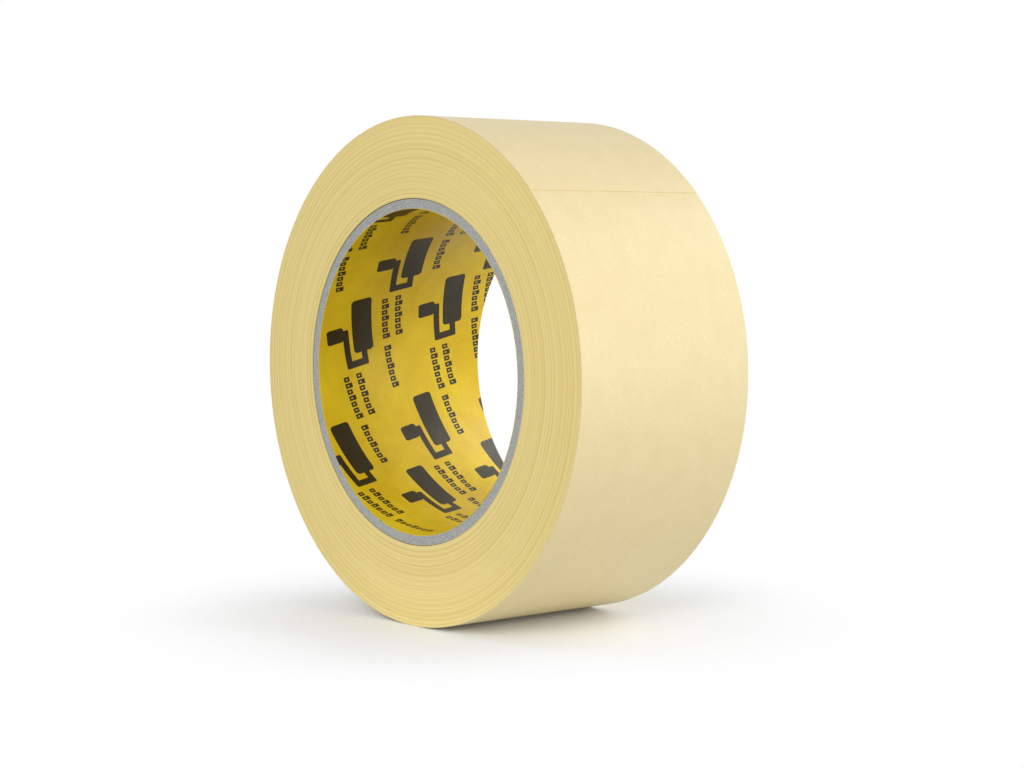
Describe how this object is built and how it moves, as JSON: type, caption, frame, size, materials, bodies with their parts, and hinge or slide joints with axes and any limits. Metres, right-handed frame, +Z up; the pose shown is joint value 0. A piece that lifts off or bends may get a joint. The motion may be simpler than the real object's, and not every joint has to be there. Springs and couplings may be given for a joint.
{
  "type": "masking tape roll",
  "caption": "Roll of creped paper masking tape on a grey chipboard core with a glossy printed liner; the free end lifts to pull tape off.",
  "frame": {"origin": "centre of the core's bore, half way across the roll's width", "axes": "+Y along the roll's axis, away from the face that is seen first; +Z up, so the roll stands on its tread; +X towards the side on which the tape's cut end lies"},
  "size_m": [0.1193, 0.0508, 0.1194],
  "materials": {
    "liner_paper": "glossy coated paper with dark print",
    "chipboard": "matt, speckled, unbleached",
    "wound_tape": "matt slit edges of wound tape",
    "crepe_paper": "fine crepe, soft satin"
  },
  "bodies": {
    "roll": {"core_liner": "liner_paper", "chipboard_ply_1": "chipboard", "chipboard_ply_2": "chipboard", "chipboard_ply_3": "chipboard", "chipboard_ply_4": "chipboard", "tape_winding": "wound_tape", "tape_outer_turn": "crepe_paper"},
    "tail": {"tape_tail": "crepe_paper"}
  },
  "joints": [
    {"name": "tail_peel", "type": "hinge", "parent": "roll", "child": "tail", "pos_m": [0.02572, 0, 0.05393], "axis": [0, -1, 0], "range_deg": [0, 135]}
  ]
}
